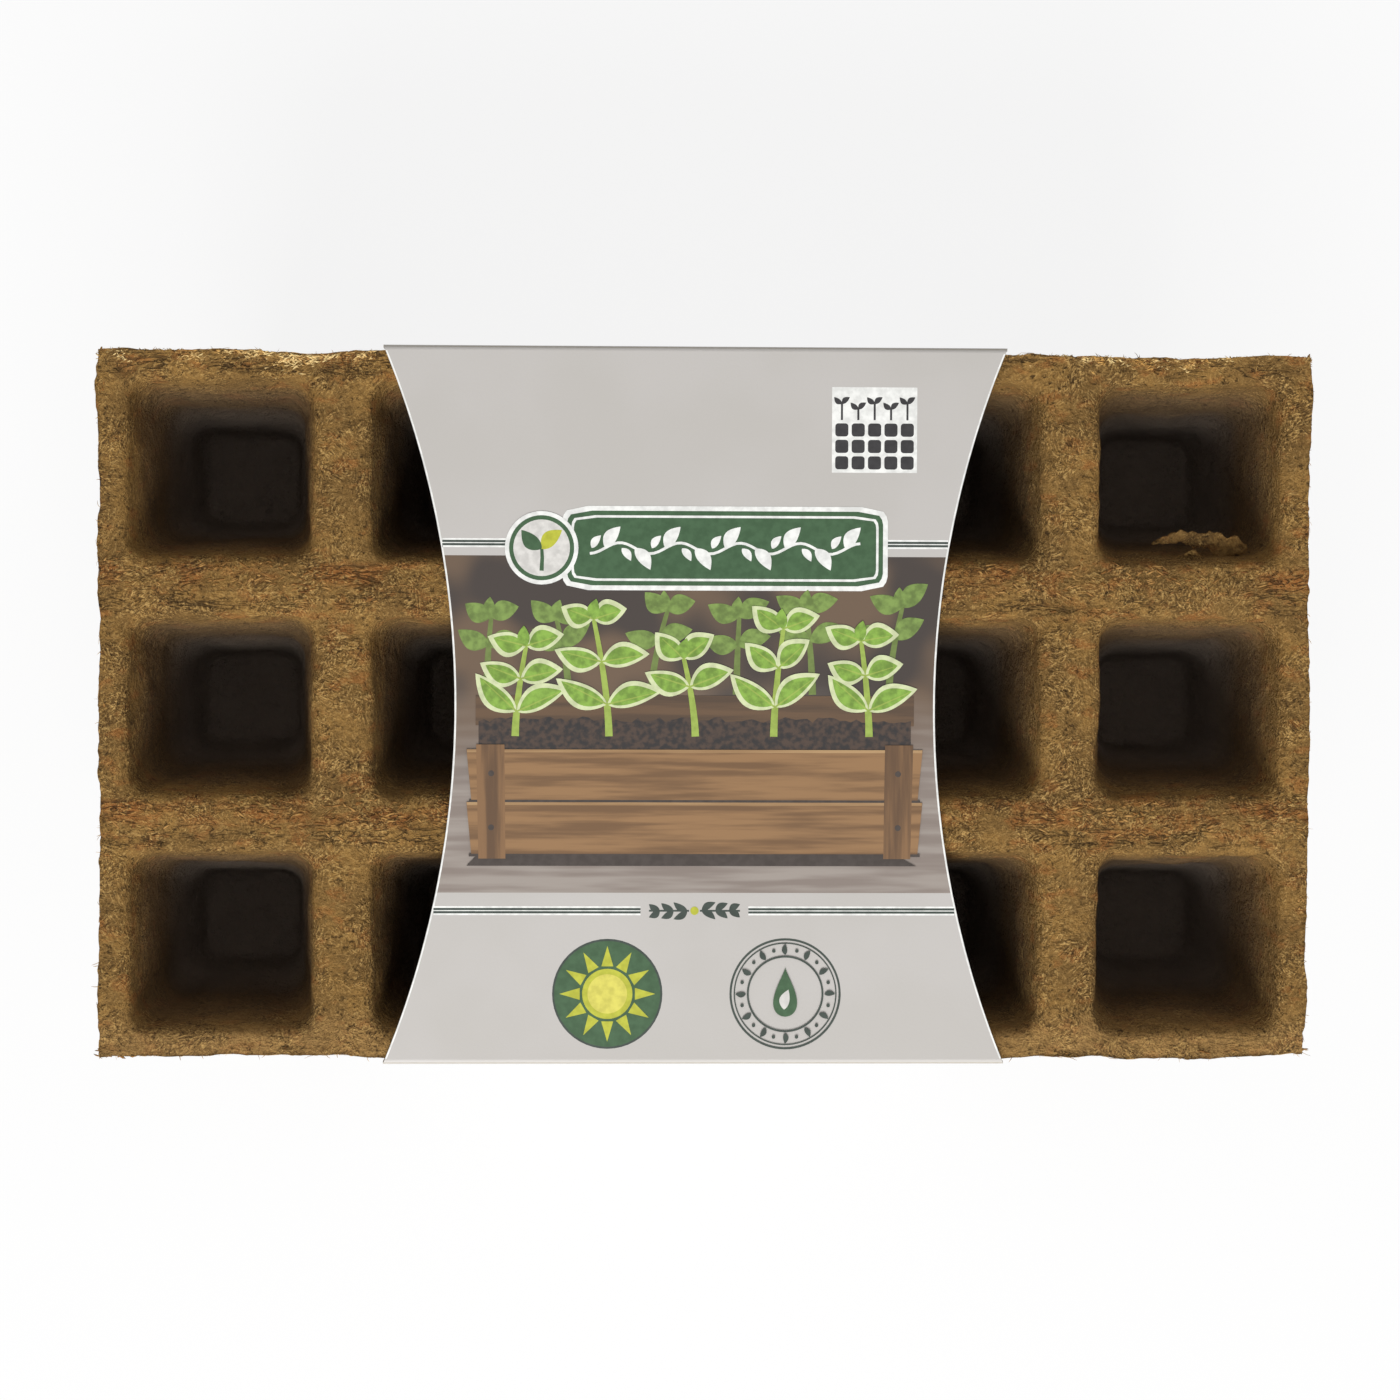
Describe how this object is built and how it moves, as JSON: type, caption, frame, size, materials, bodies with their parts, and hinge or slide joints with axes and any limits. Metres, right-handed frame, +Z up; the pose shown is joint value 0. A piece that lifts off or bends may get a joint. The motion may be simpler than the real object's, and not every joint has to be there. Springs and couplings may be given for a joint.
{
  "type": "peat pot tray pack",
  "caption": "Pack of nested peat pulp seed trays of square tapered pots, held by a folded board sleeve with hollowed front edges.",
  "frame": {"origin": "middle of the pack's underside, level with the outer face of the sleeve's bottom panel", "axes": "+X along a tray's five columns of pots, +Y along its three rows, +Z up, out of the pots' mouths"},
  "size_m": [0.2026, 0.1196, 0.102],
  "materials": {
    "pulp": "matte, fibrous",
    "board": "matte, printed"
  },
  "bodies": {
    "trays": {"pot_tray_1": "pulp", "pot_tray_2": "pulp", "pot_tray_3": "pulp", "pot_tray_4": "pulp", "pot_tray_5": "pulp", "pot_tray_6": "pulp"},
    "sleeve": {"sleeve": "board"}
  },
  "joints": [
    {"name": "sleeve_slide", "type": "slide", "parent": "trays", "child": "sleeve", "axis": [1, 0, 0], "range_m": [-0.155, 0.155]}
  ]
}
